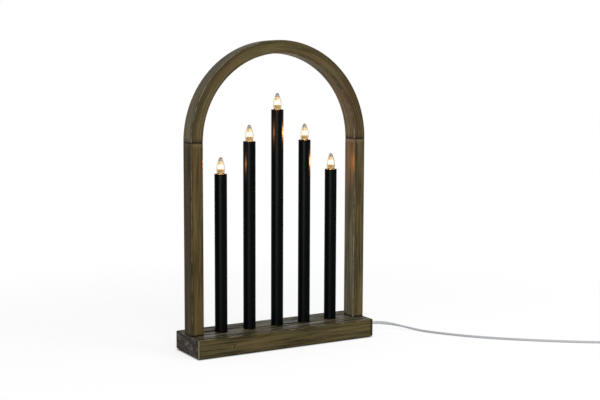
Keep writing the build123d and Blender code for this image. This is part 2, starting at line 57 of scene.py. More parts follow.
# Camera, from the photograph's vanishing lines: angles in degrees, place in metres
CAMERA_TURN, CAMERA_DOWN, CAMERA_ROLL = 30.467, 6.283, 0.226
CAMERA_PLACE = (-0.8413, -1.4995, 0.4145)
CAMERA_LENS, SENSOR_WIDTH = 67.25, 36
CLIP_END = 50


def set_camera():
    turn, down, roll = (math.radians(v) for v in (CAMERA_TURN, CAMERA_DOWN, CAMERA_ROLL))
    forward = Vector(
        (math.sin(turn) * math.cos(down), math.cos(turn) * math.cos(down), -math.sin(down))
    )
    right = Vector((math.cos(turn), -math.sin(turn), 0))
    up = right.cross(forward)
    level = math.cos(roll) * right + math.sin(roll) * up
    upright = -math.sin(roll) * right + math.cos(roll) * up
    data = bpy.data.cameras.new("camera")
    data.lens = CAMERA_LENS
    data.sensor_width = SENSOR_WIDTH
    data.sensor_fit = "HORIZONTAL"
    data.clip_end = CLIP_END
    camera = bpy.data.objects.new("camera", data)
    scene.collection.objects.link(camera)
    turn_matrix = Matrix((level, upright, -forward)).transposed().to_4x4()
    camera.matrix_world = Matrix.Translation(CAMERA_PLACE) @ turn_matrix
    scene.camera = camera


set_camera()


# Helpers for meshes and materials
def new_object(name, verts, faces, smooth=True):
    mesh = bpy.data.meshes.new(name)
    mesh.from_pydata([tuple(v) for v in verts], [], faces)
    mesh.validate()
    mesh.update()
    if smooth:
        mesh.shade_smooth()
    made = bpy.data.objects.new(name, mesh)
    scene.collection.objects.link(made)
    return made


class Nodes:
    """Builds the nodes of one procedural material, or of the world."""

    def __init__(self, owner, output="ShaderNodeOutputMaterial"):
        self.owner = owner
        self.owner.use_nodes = True
        self.tree = owner.node_tree
        self.tree.nodes.clear()
        self.out = self.add(output)

    def add(self, kind, **settings):
        made = self.tree.nodes.new(kind)
        for key, value in settings.items():
            setattr(made, key, value)
        return made

    def link(self, source, target):
        self.tree.links.new(source, target)

    def put(self, socket, value):
        if isinstance(value, bpy.types.NodeSocket):
            self.link(value, socket)
        else:
            socket.default_value = value

    def put_color(self, socket, value):
        self.put(socket, value if isinstance(value, bpy.types.NodeSocket) else (*value, 1))

    def math(self, operation, *values):
        made = self.add("ShaderNodeMath", operation=operation)
        for socket, value in zip(made.inputs, values):
            self.put(socket, value)
        return made.outputs[0]

    def length(self, first, second):
        squares = [self.math("MULTIPLY", value, value) for value in (first, second)]
        return self.math("SQRT", self.math("ADD", *squares))

    def smooth(self, value, low, high, to_low=0.0, to_high=1.0):
        made = self.add("ShaderNodeMapRange", interpolation_type="SMOOTHSTEP")
        self.put(made.inputs["Value"], value)
        made.inputs["From Min"].default_value = low
        made.inputs["From Max"].default_value = high
        made.inputs["To Min"].default_value = to_low
        made.inputs["To Max"].default_value = to_high
        return made.outputs["Result"]

    def position(self):
        return self.add("ShaderNodeTexCoord").outputs["Object"]

    def box_height(self):
        """Height as a share of the piece's own box."""
        return self.split(self.add("ShaderNodeTexCoord").outputs["Generated"])[2]

    def seen(self):
        """1 for the rays that show the background, straight, through glass or in a gloss."""
        path = self.add("ShaderNodeLightPath").outputs
        either = self.math("MAXIMUM", path["Is Camera Ray"], path["Is Transmission Ray"])
        return self.math("MAXIMUM", either, path["Is Glossy Ray"])

    def split(self, vector):
        made = self.add("ShaderNodeSeparateXYZ")
        self.link(vector, made.inputs[0])
        return made.outputs

    def join(self, x, y, z):
        made = self.add("ShaderNodeCombineXYZ")
        for socket, value in zip(made.inputs, (x, y, z)):
            self.put(socket, value)
        return made.outputs[0]

    def scaled(self, vector, scale, offset=(0, 0, 0)):
        made = self.add("ShaderNodeMapping")
        self.link(vector, made.inputs["Vector"])
        made.inputs["Scale"].default_value = scale
        made.inputs["Location"].default_value = offset
        return made.outputs[0]

    def noise(self, vector, scale, detail, roughness):
        made = self.add("ShaderNodeTexNoise")
        self.link(vector, made.inputs["Vector"])
        made.inputs["Scale"].default_value = scale
        made.inputs["Detail"].default_value = detail
        made.inputs["Roughness"].default_value = roughness
        return made.outputs[0]

    def mix(self, factor, first, second, blend="MIX"):
        made = self.add("ShaderNodeMix", data_type="RGBA", blend_type=blend)
        self.put(made.inputs["Factor"], factor)
        self.put_color(made.inputs[6], first)
        self.put_color(made.inputs[7], second)
        return made.outputs[2]

    def stain(self, color, value, recipe, share=1.0):
        """Mixes a tone in, as the value goes from the recipe's first limit to its second."""
        limits, strength, tone = recipe
        return self.mix(self.smooth(value, *limits, 0.0, strength * share), color, tone)

    def bump(self, height, strength, distance):
        made = self.add("ShaderNodeBump")
        self.link(height, made.inputs["Height"])
        made.inputs["Strength"].default_value = strength
        made.inputs["Distance"].default_value = distance
        return made.outputs[0]

    def surface(self, color, roughness, normal=None, **constants):
        shader = self.add("ShaderNodeBsdfPrincipled")
        self.put_color(shader.inputs["Base Color"], color)
        self.put(shader.inputs["Roughness"], roughness)
        if normal is not None:
            self.link(normal, shader.inputs["Normal"])
        for key, value in constants.items():
            shader.inputs[key.replace("_", " ")].default_value = value
        self.link(shader.outputs[0], self.out.inputs["Surface"])
        return shader


def new_material(name):
    return Nodes(bpy.data.materials.new(name))


def paint(target, material):
    target.data.materials.clear()
    target.data.materials.append(material)


def shaded(color, share):
    return tuple(share * v for v in color)


# Cord: its route in metres, out of the base, down to the floor and along it
CORD_AXIS = 0.014
CORD_LIE = 0.0022
COIL_LOW = 0.0028
COIL_HIGH = 0.00745
CORD_ROUTE = [
    (0.1245, 0, CORD_AXIS),
    (0.147, 0, CORD_AXIS),
    (0.170, -0.0004, CORD_AXIS - 0.0002),
    (0.194, -0.0032, CORD_AXIS - 0.0016),
    (0.215, -0.0115, 0.0088),
    (0.231, -0.026, 0.0046),
    (0.2415, -0.046, CORD_LIE),
    (0.254, -0.071, CORD_LIE),
    (0.272, -0.100, CORD_LIE),
    (0.296, -0.132, CORD_LIE),
    (0.328, -0.165, CORD_LIE),
    (0.365, -0.198, CORD_LIE),
    (0.406, -0.231, CORD_LIE),
    (0.449, -0.263, COIL_LOW),
    (0.487, -0.289, COIL_LOW),
]

# The coil at its end, in two layers of half turns, and the tail that runs to the plug
COIL_RADIUS = 0.040
COIL_PITCH = 0.00465
TURNS_IN, TURNS_OUT = 6, 5
COIL_START = 0.0042
COIL_TAIL = 0.024
TAIL_SHARES = (0.25, 0.6, 1.0)
POINTS_PER_HALF_TURN = 8

# The smooth curve through the control points, whose own weight is the larger one
SPLINE_STEPS = 6
SPLINE_ORDER = 3
OWN_WEIGHT, NEXT_WEIGHT = 0.75, 0.25

# The flat flex: its two cores, and how far it is turned, by the distance from its start
CORE_RADIUS = 0.0016
CORE_OFFSET = 0.0011
CORE_STEPS = 11
FLEX_TURNS = [(0, 90), (0.062, 88), (0.118, 8), (0.16, 0), (0.42, 0), (0.48, 45)]


def coil_points():
    """Control points of the coil: spiral in, climb, spiral out, and on to the plug."""
    end = Vector(CORD_ROUTE[-1])
    heading = (end - Vector(CORD_ROUTE[-2])).normalized()
    side_axis = Vector((heading.y, -heading.x, 0))
    step = math.pi / POINTS_PER_HALF_TURN
    swell = 1 / (OWN_WEIGHT + NEXT_WEIGHT * math.cos(step))
    points = []
    x, side = 0.0, 1
    for turn in range(TURNS_IN + 1 + TURNS_OUT):
        radius = COIL_RADIUS - (TURNS_IN - abs(turn - TURNS_IN)) * COIL_PITCH / 2
        centre = x - side * radius
        for index in range(POINTS_PER_HALF_TURN):
            share = (index + 0.5) / POINTS_PER_HALF_TURN
            angle = share * math.pi
            across = centre + side * radius * swell * math.cos(angle)
            along = COIL_START + side * radius * swell * math.sin(angle)
            if turn < TURNS_IN:
                height = COIL_LOW
            elif turn == TURNS_IN:
                height = COIL_LOW + share * (COIL_HIGH - COIL_LOW)
            else:
                height = COIL_HIGH
            points.append((across, along, height))
        x -= 2 * side * radius
        side = -side
    for share in TAIL_SHARES:
        points.append((0, COIL_START + share * COIL_TAIL, COIL_HIGH))
    ground = Vector((end.x, end.y, 0))
    return [ground + a * side_axis + b * heading + Vector((0, 0, c)) for a, b, c in points]


def spline_points(controls):
    """Points along a smooth curve that follows the control points."""
    data = bpy.data.curves.new("route", "CURVE")
    data.dimensions = "3D"
    data.resolution_u = SPLINE_STEPS
    spline = data.splines.new("NURBS")
    spline.points.add(len(controls) - 1)
    for point, place in zip(spline.points, controls):
        point.co = (*place, 1)
    spline.order_u = SPLINE_ORDER
    spline.use_endpoint_u = True
    holder = bpy.data.objects.new("route", data)
    scene.collection.objects.link(holder)
    bpy.context.view_layer.update()
    mesh = bpy.data.meshes.new_from_object(holder)
    points = [v.co.copy() for v in mesh.vertices]
    bpy.data.meshes.remove(mesh)
    bpy.data.objects.remove(holder)
    bpy.data.curves.remove(data)
    return points


def flex_section():
    """Outline of a flat twin flex: two round cores side by side, with a groove between."""
    groove = math.acos(-CORE_OFFSET / CORE_RADIUS)
    outline = []
    for side in (1, -1):
        for index in range(CORE_STEPS):
            angle = -groove + 2 * groove * (index + 0.5) / CORE_STEPS
            wide = CORE_OFFSET + CORE_RADIUS * math.cos(angle)
            outline.append((side * wide, side * CORE_RADIUS * math.sin(angle)))
    return outline


def flex_turn(distance, total):
    """Turn of the flat flex about its own line: on edge, then flat, then slanted in the coil."""
    last_turn = FLEX_TURNS[-1][1]
    stations = FLEX_TURNS + [(total, last_turn)]
    for (start, before), (end, after) in zip(stations, stations[1:]):
        if distance <= end:
            share = (distance - start) / (end - start)
            share = share * share * (3 - 2 * share)
            return math.radians(before + (after - before) * share)
    return math.radians(last_turn)


def make_cord():
    points = spline_points([Vector(p) for p in CORD_ROUTE] + coil_points())
    lengths = [0.0]
    for before, after in zip(points, points[1:]):
        lengths.append(lengths[-1] + (after - before).length)
    outline = flex_section()
    count = len(outline)
    verts, faces = [], []
    for index, point in enumerate(points):
        before = points[max(index - 1, 0)]
        after = points[min(index + 1, len(points) - 1)]
        tangent = (after - before).normalized()
        up = (Vector((0, 0, 1)) - tangent * tangent.z).normalized()
        across = tangent.cross(up)
        angle = flex_turn(lengths[index], lengths[-1])
        wide = math.cos(angle) * across + math.sin(angle) * up
        thin = -math.sin(angle) * across + math.cos(angle) * up
        verts.extend(point + u * wide + v * thin for u, v in outline)
    for index in range(len(points) - 1):
        for k in range(count):
            a, b = index * count + k, index * count + (k + 1) % count
            faces.append((a, a + count, b + count, b))
    faces.append(tuple(range(count)))
    last = (len(points) - 1) * count
    faces.append(tuple(reversed(range(last, last + count))))
    cord = new_object("flex_cord", verts, faces)
    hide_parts("cord_lead", "cord_coil")
    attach(cord, "root")
    return cord


cord = make_cord()

# Floor and world: pale where they are seen, a plain bounce where they light the object
FLOOR_REACH = 12
FLOOR_BOUNCE, FLOOR_SHOWN = (0.62, 0.62, 0.62), (0.34, 0.34, 0.34)
FLOOR_GLOW = 0.78
# Limits of the painted shadow under the base: inside and outside its edge, in metres
BASE_SHADOW_INSIDE, BASE_SHADOW_OUTSIDE = -0.004, 0.003
WHITE_FROM, WHITE_BEYOND = 0.35, 0.9
WORLD_LIGHT, WORLD_SHOWN = 0.38, 1.0


def set_floor():
    r = FLOOR_REACH
    corners = [(-r, -r, 0), (r, -r, 0), (r, r, 0), (-r, r, 0)]
    floor = new_object("floor", corners, [(0, 1, 2, 3)], smooth=False)
    m = new_material("floor")
    seen = m.seen()
    x, y, _ = m.split(m.position())
    matte = m.add("ShaderNodeBsdfDiffuse")
    m.link(m.mix(seen, FLOOR_BOUNCE, FLOOR_SHOWN), matte.inputs["Color"])
    # Painted shadow: the floor's glow fades out from 3 mm outside the base to 4 mm under it
    past_end = m.math("SUBTRACT", m.math("ABSOLUTE", x), BASE_HALF[0])
    past_side = m.math("SUBTRACT", m.math("ABSOLUTE", y), BASE_HALF[1])
    past = m.math("MAXIMUM", past_end, past_side)
    glow_with_painted_shadow = m.smooth(past, BASE_SHADOW_INSIDE, BASE_SHADOW_OUTSIDE, 0.0, FLOOR_GLOW)
    glow = m.add("ShaderNodeEmission")
    m.link(m.math("MULTIPLY", seen, glow_with_painted_shadow), glow.inputs["Strength"])
    near = m.add("ShaderNodeAddShader")
    m.link(matte.outputs[0], near.inputs[0])
    m.link(glow.outputs[0], near.inputs[1])
    white = m.add("ShaderNodeEmission")
    away = m.smooth(m.length(x, y), WHITE_FROM, WHITE_BEYOND)
    whole = m.add("ShaderNodeMixShader")
    m.link(m.math("MULTIPLY", seen, away), whole.inputs[0])
    m.link(near.outputs[0], whole.inputs[1])
    m.link(white.outputs[0], whole.inputs[2])
    m.link(whole.outputs[0], m.out.inputs["Surface"])
    paint(floor, m.owner)


def set_world():
    scene.world = bpy.data.worlds.new("studio")
    w = Nodes(scene.world, "ShaderNodeOutputWorld")
    back = w.add("ShaderNodeBackground")
    w.put_color(back.inputs["Color"], WHITE)
    w.link(w.smooth(w.seen(), 0.0, 1.0, WORLD_LIGHT, WORLD_SHOWN), back.inputs["Strength"])
    w.link(back.outputs[0], w.out.inputs["Surface"])


def group(name, pieces):
    """The pieces that a light reaches."""
    made = bpy.data.collections.new(name)
    for piece in pieces:
        made.objects.link(nodes[piece])
    return made


def add_area(name, place, target, size, power, color=WHITE):
    data = bpy.data.lights.new(name, "AREA")
    data.shape = "RECTANGLE"
    data.size, data.size_y = size
    data.energy = power
    data.color = color
    lamp = bpy.data.objects.new(name, data)
    scene.collection.objects.link(lamp)
    lamp.location = place
    lamp.rotation_euler = (Vector(target) - Vector(place)).to_track_quat("-Z", "Y").to_euler()
    return lamp


set_floor()
set_world()
tubes = group("tubes", [f"{kind}_{n}" for n in CANDLES for kind in ("candle_tube", "lamp_holder")])
woodwork = group("woodwork", ["base_board", "left_post", "right_post", "arch"])
posts = group("posts", ["left_post", "right_post"])
lit_inside = group("lit_inside", ["right_post", "arch"])

# Studio lights: key and fill for all, a strip that draws the highlight of the tubes,
# a cool side light on the inner faces, and a light on the back of the wood
add_area("key", place=(-0.65, -2.1, 1.35), target=(0, 0, 0.25), size=(1.0, 1.4), power=19)
add_area("fill", place=(1.15, -2.1, 1.25), target=(0, 0, 0.2), size=(1.2, 1.6), power=20)
strip = add_area(
    "strip", place=(-1.14, -1.52, 0.95), target=(0, 0, 0.5), size=(0.46, 1.8), power=205
)
strip.visible_diffuse = False
strip.light_linking.receiver_collection = tubes
side = add_area(
    "side",
    place=(-1.3, -0.05, 0.12),
    target=(0, 0, 0.32),
    size=(0.8, 0.8),
    power=15,
    color=(0.74, 0.82, 1.0),
)
side.light_linking.receiver_collection = lit_inside
side.light_linking.blocker_collection = lit_inside
behind = add_area("behind", place=(0.3, 2.2, 0.5), target=(0, 0, 0.24), size=(1.4, 0.9), power=18)
behind.visible_glossy = False
behind.light_linking.receiver_collection = woodwork

# Stained wood: noises, each with its scale along and across the grain, detail and roughness
DRIFT = ((5, 22, 22), 2, 0.5)
FLOW = ((16, 90, 90), 3, 0.55)
BANDS = ((10, 125, 125), 3, 0.55)
STREAKS = ((10, 420, 420), 5, 0.62)
FIBRES = ((60, 1700, 1700), 3, 0.6)
CLOUDS = ((13, 46, 46), 4, 0.6)
CHIPS = ((45, 260, 260), 4, 0.65)
END_PATCHES = ((0, 38, 75), 4, 0.6)
END_FLECKS = ((0, 75, 150), 5, 0.65)
TOP_STRIPES = ((8, 300, 0), 4, 0.6)
NOISE_MIDDLE = 0.5

# Growth rings: their width, how far they bend, and where the dark part of each lies
RING_WIDTH = 0.0034
DRIFT_BEND, FLOW_BEND, MARK_BEND = 0.018, 0.0035, 0.0016
MARK_BEND_REACH = (0.6, 3.0)
LATE_RISE, LATE_FALL = (0.25, 0.86), (0.9, 1.0)
LATE_STRENGTH, LATE_TONE = 0.34, (0.030, 0.021, 0.007)

# Stains: the values at which each begins and is full, its strength and its colour
CLOUD_LIMITS = (0.36, 0.64)
DARK_BANDS = ((0.50, 0.36), 0.70, (0.016, 0.012, 0.006))
PALE_BANDS = ((0.52, 0.68), 0.40, (0.175, 0.138, 0.062))
DARK_STREAKS = ((0.47, 0.35), 0.85, (0.009, 0.007, 0.004))
PALE_STREAKS = ((0.55, 0.68), 0.60, (0.190, 0.142, 0.060))
PALE_FIBRES = ((0.45, 0.68), 0.30, (0.150, 0.115, 0.052))
STAIN_SHARE = {"base": 1.0, "post": 0.75, "arch": 0.65}

# The sawn ends of the base
END_SKIN, END_STRENGTH = (0.0012, 0.0004), 0.9
END_DARK, END_PALE, PATCH_LIMITS = (0.007, 0.005, 0.004), (0.065, 0.055, 0.045), (0.38, 0.60)
END_LATE_STRENGTH, END_LATE_TONE = 0.75, (0.018, 0.012, 0.009)
DARK_FLECKS = ((0.47, 0.36), 0.9, (0.004, 0.003, 0.003))
PALE_FLECKS = ((0.50, 0.64), 0.85, (0.235, 0.208, 0.180))

# Joints, by the distance from the end of a piece in metres. At a post's foot the dark lines are a
# painted contact shadow
JOINT_SMUDGE = ((0.0085, 0.0010), 0.45, (0.016, 0.012, 0.008))
JOINT_LINE_AND_FOOT_SHADOW = ((0.0019, 0.0006), 0.72, (0.006, 0.005, 0.004))
FOOT_SHADOW_LINE = ((0.0034, 0.0014), 0.9, (0.005, 0.004, 0.003))
JOINT_BAND = ((0.0085, 0.003), 0.45, (0.190, 0.150, 0.080))
JOINT_BAND_START = (0.0012, 0.0026)

# The stripes on top of the base, with the roughness that each adds. The pale grey ones are partly
# grain and partly a painted sheen
DARK_STRIPES = ((0.51, 0.43), 0.95, (0.005, 0.004, 0.003), 0.45)
PALE_SHEEN_STRIPES = ((0.52, 0.60), 0.92, (0.205, 0.192, 0.162), -0.22)

# Marks and edges
MARK_LIMITS, MARK_STRENGTH = (1.3, 0.5), 0.8
EDGE_LIMITS, EDGE_TONE = (0.0050, 0.0012), (0.022, 0.016, 0.008)
EDGE_STRENGTH = {"base": 0.25, "post": 0.40, "arch": 0.40}
WEAR_EDGE, WEAR_CHIPS = (0.0016, 0.0007), (0.42, 0.62)
WEAR_STRENGTH, WEAR_TONE = 0.75, (0.260, 0.210, 0.115)
CORNER_WEAR = ((0.0019, 0.0009), 0.8, (0.330, 0.280, 0.165))
# Painted shade: the base grows darker over its last 9 mm towards the right end
RIGHT_END_SHADE = ((0.1450, 0.1530), 0.75, (0.010, 0.009, 0.006))

# Surface: shares of the relief, the bump's strength and depth, and the gloss
STREAK_RELIEF, FIBRE_RELIEF, LATE_RELIEF = 0.7, 0.5, 0.25
WOOD_BUMP = (0.45, 0.0004)
ROUGH_SPREAD, ROUGH_LEAST = 0.30, 0.32
WOOD_IOR, WOOD_SPECULAR = 1.5, 0.045


def base_space(m):
    """Distances along, across and up the base, and to its edges, ends and upright corners."""
    x, y, z = m.split(m.position())
    rise = m.math("SUBTRACT", z, BASE_MIDDLE)
    end, front, top = (
        m.math("SUBTRACT", half, m.math("ABSOLUTE", value))
        for half, value in zip(BASE_HALF, (x, y, rise))
    )
    nearer = m.math("MINIMUM", end, front)
    corner = m.math("MAXIMUM", end, front)
    edge = m.math("MAXIMUM", nearer, m.math("MINIMUM", corner, top))
    return x, y, rise, edge, end, corner


def bar_space(m, kind):
    """Distances along, across and through a post or the arch, and to its edges and ends."""
    x, y, z = m.split(m.position())
    above = m.math("SUBTRACT", z, SPRING_LINE)
    if kind == "arch":
        along = m.math("MULTIPLY", m.math("ARCTAN2", above, x), MIDDLE_RADIUS)
        across = m.math("SUBTRACT", m.length(x, above), MIDDLE_RADIUS)
        end = above
    else:
        along = z
        across = m.math("SUBTRACT", m.math("ABSOLUTE", x), MIDDLE_RADIUS)
        below = m.math("SUBTRACT", SPRING_LINE, z)
        end = m.math("MINIMUM", below, m.math("SUBTRACT", z, BASE_TOP))
    gaps = [
        m.math("SUBTRACT", half, m.math("ABSOLUTE", value))
        for half, value in zip(SECTION_HALF, (across, y))
    ]
    return along, across, y, m.math("MAXIMUM", *gaps), end


def oval(m, place, reach, tilt):
    """Distance from an oval's middle, in shares of its reach, with its length tilted upwards."""
    x, y, z = (m.math("SUBTRACT", v, p) for v, p in zip(m.split(m.position()), place))
    cos, sin = math.cos(math.radians(tilt)), math.sin(math.radians(tilt))
    length = m.math("MULTIPLY_ADD", x, cos, m.math("MULTIPLY", z, sin))
    width = m.math("MULTIPLY_ADD", z, cos, m.math("MULTIPLY", x, -sin))
    total = 0.0
    for value, size in zip((length, y, width), reach):
        share = m.math("DIVIDE", value, size)
        total = m.math("MULTIPLY_ADD", share, share, total)
    return m.math("SQRT", total)


def grain_noise(m, grain, recipe, offset):
    """A noise stretched along the grain. The offset keeps it apart from the others."""
    scale, detail, roughness = recipe
    return m.noise(m.scaled(grain, scale, offset), 1.0, detail, roughness)


def late_wood(m, grain, across, deep, seed, pith, marks):
    """The dark part of each growth ring, bent by the grain and around the marks."""
    drift = grain_noise(m, grain, DRIFT, (seed, 0, 0))
    flow = grain_noise(m, grain, FLOW, (0, seed, 0))
    bend = m.math("MULTIPLY", m.math("SUBTRACT", drift, NOISE_MIDDLE), DRIFT_BEND)
    bend = m.math("MULTIPLY_ADD", m.math("SUBTRACT", flow, NOISE_MIDDLE), FLOW_BEND, bend)
    for place, reach, tilt, _ in marks:
        aside = m.smooth(oval(m, place, reach, tilt), *MARK_BEND_REACH, MARK_BEND, 0.0)
        bend = m.math("ADD", bend, aside)
    radius = m.length(m.math("SUBTRACT", across, pith[0]), m.math("SUBTRACT", deep, pith[1]))
    ring = m.math("FRACT", m.math("DIVIDE", m.math("ADD", radius, bend), RING_WIDTH))
    return m.math("MULTIPLY", m.smooth(ring, *LATE_RISE), m.smooth(ring, *LATE_FALL, 1.0, 0.0))


def end_grain(m, grain, late, seed):
    """Colour of the sawn ends of the base."""
    patches = grain_noise(m, grain, END_PATCHES, (seed, 2, 9))
    flecks = grain_noise(m, grain, END_FLECKS, (seed, 6, 1))
    sawn = m.mix(m.smooth(patches, *PATCH_LIMITS), END_DARK, END_PALE)
    sawn = m.mix(m.math("MULTIPLY", late, END_LATE_STRENGTH), sawn, END_LATE_TONE)
    sawn = m.stain(sawn, flecks, DARK_FLECKS)
    return m.stain(sawn, flecks, PALE_FLECKS)


def post_ends(m, color, along):
    """A pale band below the joint with the arch, and a painted contact shadow as a dark line at the
    foot.
    """
    limits, strength, tone = JOINT_BAND
    below = m.math("SUBTRACT", SPRING_LINE, along)
    fade = m.smooth(below, *limits, 0.0, strength)
    color = m.mix(m.math("MULTIPLY", m.smooth(below, *JOINT_BAND_START), fade), color, tone)
    return m.stain(color, m.math("SUBTRACT", along, BASE_TOP), FOOT_SHADOW_LINE)


def top_stripes(m, color, rough, grain, on_top, seed):
    """Dull dark and smoother pale stripes on the top of the base; the pale grey is partly a painted
    sheen.
    """
    stripes = grain_noise(m, grain, TOP_STRIPES, (seed, 4, 0))
    for limits, strength, tone, dullness in (DARK_STRIPES, PALE_SHEEN_STRIPES):
        share = m.math("MULTIPLY", on_top, m.smooth(stripes, *limits, 0.0, strength))
        color = m.mix(share, color, tone)
        rough = m.math("MULTIPLY_ADD", share, dullness, rough)
    return color, rough


def wood(name, kind, seed, pith, tones, marks=(), faces=()):
    """Rings and streaks along a piece's length, with its faces (partly stain, partly painted light
    and shade), joints, marks and worn edges.
    """
    m = new_material(name)
    if kind == "base":
        along, across, deep, edge, end, corner = base_space(m)
    else:
        along, across, deep, edge, end = bar_space(m, kind)
    grain = m.join(along, across, deep)
    late = late_wood(m, grain, across, deep, seed, pith, marks)
    bands = grain_noise(m, grain, BANDS, (seed, 5, 0))
    streaks = grain_noise(m, grain, STREAKS, (0, 0, seed))
    fibres = grain_noise(m, grain, FIBRES, (seed, seed, 0))
    clouds = grain_noise(m, grain, CLOUDS, (seed, 3, 7))
    chips = grain_noise(m, grain, CHIPS, (seed, 1, 2))

    color = m.mix(m.smooth(clouds, *CLOUD_LIMITS), tones[0], tones[1])
    color = m.mix(m.math("MULTIPLY", late, LATE_STRENGTH), color, LATE_TONE)
    color = m.stain(color, bands, DARK_BANDS, STAIN_SHARE[kind])
    color = m.stain(color, bands, PALE_BANDS)
    color = m.stain(color, streaks, DARK_STREAKS, STAIN_SHARE[kind])
    color = m.stain(color, streaks, PALE_STREAKS)
    color = m.stain(color, fibres, PALE_FIBRES)
    rough = m.math("MULTIPLY_ADD", fibres, ROUGH_SPREAD, ROUGH_LEAST)

    if kind == "base":
        sawn = end_grain(m, grain, late, seed)
        color = m.stain(color, end, (END_SKIN, END_STRENGTH, sawn))
    if kind == "arch":
        color = m.stain(color, end, JOINT_SMUDGE)
    if kind != "base":
        # For a post this dark line also runs at its foot, where it is a painted contact shadow
        color = m.stain(color, end, JOINT_LINE_AND_FOOT_SHADOW)
    if kind == "post":
        color = post_ends(m, color, along)
    # Each face's gain is partly stain and partly painted light and shade; the base top's is painted
    # shade
    for inside, outside, stain_and_light_gain in faces:
        on_face = m.smooth(deep if kind == "base" else across, inside, outside)
        color = m.mix(on_face, color, stain_and_light_gain, "MULTIPLY")
        if kind == "base":
            color, rough = top_stripes(m, color, rough, grain, on_face, seed)

    for place, reach, tilt, tone in marks:
        color = m.stain(color, oval(m, place, reach, tilt), (MARK_LIMITS, MARK_STRENGTH, tone))
    color = m.stain(color, edge, (EDGE_LIMITS, EDGE_STRENGTH[kind], EDGE_TONE))
    wear = m.math("MULTIPLY", m.smooth(edge, *WEAR_EDGE), m.smooth(chips, *WEAR_CHIPS))
    color = m.mix(m.math("MULTIPLY", wear, WEAR_STRENGTH), color, WEAR_TONE)
    if kind == "base":
        color = m.stain(color, corner, CORNER_WEAR)
        # Painted shade towards the base's right end
        color = m.stain(color, along, RIGHT_END_SHADE)

    relief = m.math("MULTIPLY", fibres, FIBRE_RELIEF)
    relief = m.math("MULTIPLY_ADD", streaks, STREAK_RELIEF, relief)
    relief = m.math("SUBTRACT", relief, m.math("MULTIPLY", late, LATE_RELIEF))
    normal = m.bump(relief, *WOOD_BUMP)
    m.surface(color, rough, normal, IOR=WOOD_IOR, Specular_IOR_Level=WOOD_SPECULAR)
    return m.owner


# Tones of the pieces, and marks on them: place, reach, tilt in degrees and colour
MOSS, DUN = (0.092, 0.081, 0.034), (0.117, 0.085, 0.034)
OLIVE, RUST = (0.087, 0.074, 0.029), (0.119, 0.071, 0.029)
TAN = (0.113, 0.077, 0.028)
KNOT, CRACK, SLIT = (0.024, 0.014, 0.006), (0.215, 0.170, 0.085), (0.005, 0.002, 0.001)
BASE_MARKS = [
    ((-0.0955, -0.040, 0.0142), (0.0034, 0.006, 0.0013), 68, KNOT),
    ((-0.0982, -0.040, 0.0138), (0.0042, 0.006, 0.0005), 68, CRACK),
]
LEFT_MARKS = [((-0.152, -0.0066, 0.285), (0.006, 0.0027, 0.023), 0, SLIT)]
ARCH_MARKS = [
    ((0.1005, -0.014, 0.4017), (0.0026, 0.006, 0.0015), -40, KNOT),
    ((0.0973, -0.014, 0.4013), (0.0032, 0.006, 0.0005), -40, CRACK),
]

# Faces made lighter or darker, partly as stain that took differently and partly as painted light
# and shade: where each begins and is full, and its gain
TOP_FACE = (0.0130, 0.0138)
INNER_FACE, OUTER_FACE = (-0.0088, -0.0097), (0.0088, 0.0097)
BASE_TOP_SHADE = [(*TOP_FACE, (0.88, 0.88, 0.82))]
LEFT_FACE_STAIN_AND_SHADE = [(*OUTER_FACE, (0.76, 0.76, 0.74))]
RIGHT_FACE_STAIN_AND_LIGHT = [(*INNER_FACE, (1.08, 1.10, 1.30))]
ARCH_FACE_STAIN_LIGHT_AND_SHADE = [(*INNER_FACE, (1.04, 1.15, 1.30)), (*OUTER_FACE, (0.86, 0.92, 1.15))]

base_wood = wood(
    "stained_base",
    "base",
    seed=2.3,
    pith=(0.018, -0.062),
    tones=(MOSS, DUN),
    marks=BASE_MARKS,
    faces=BASE_TOP_SHADE,
)
left_wood = wood(
    "stained_left_post",
    "post",
    seed=7.1,
    pith=(0.030, -0.052),
    tones=(TAN, TAN),
    marks=LEFT_MARKS,
    faces=LEFT_FACE_STAIN_AND_SHADE,
)
right_wood = wood(
    "stained_right_post",
    "post",
    seed=15.4,
    pith=(-0.034, -0.047),
    tones=(MOSS, DUN),
    faces=RIGHT_FACE_STAIN_AND_LIGHT,
)
arch_wood = wood(
    "stained_arch",
    "arch",
    seed=21.9,
    pith=(-0.050, 0.020),
    tones=(OLIVE, RUST),
    marks=ARCH_MARKS,
    faces=ARCH_FACE_STAIN_LIGHT_AND_SHADE,
)
paint(nodes["base_board"], base_wood)
paint(nodes["left_post"], left_wood)
paint(nodes["right_post"], right_wood)
paint(nodes["arch"], arch_wood)

# Black plastic of the tubes and holders
HAZE_SCALE, HAZE_DETAIL, HAZE_ROUGHNESS = (60, 60, 14), 3, 0.6
SPECK_SCALE, SPECK_DETAIL, SPECK_ROUGHNESS = 1900.0, 2, 0.5
HAZE_COLOR_LIMITS, HAZE_ROUGH_LIMITS = (0.35, 0.7), (0.3, 0.7)
HAZE_GAIN = 1.5
PLASTIC_BUMP = (0.10, 0.0001)
PLASTIC_IOR, PLASTIC_SPECULAR, PLASTIC_TINT = 1.47, 0.022, (0.85, 0.97, 1.0, 1)


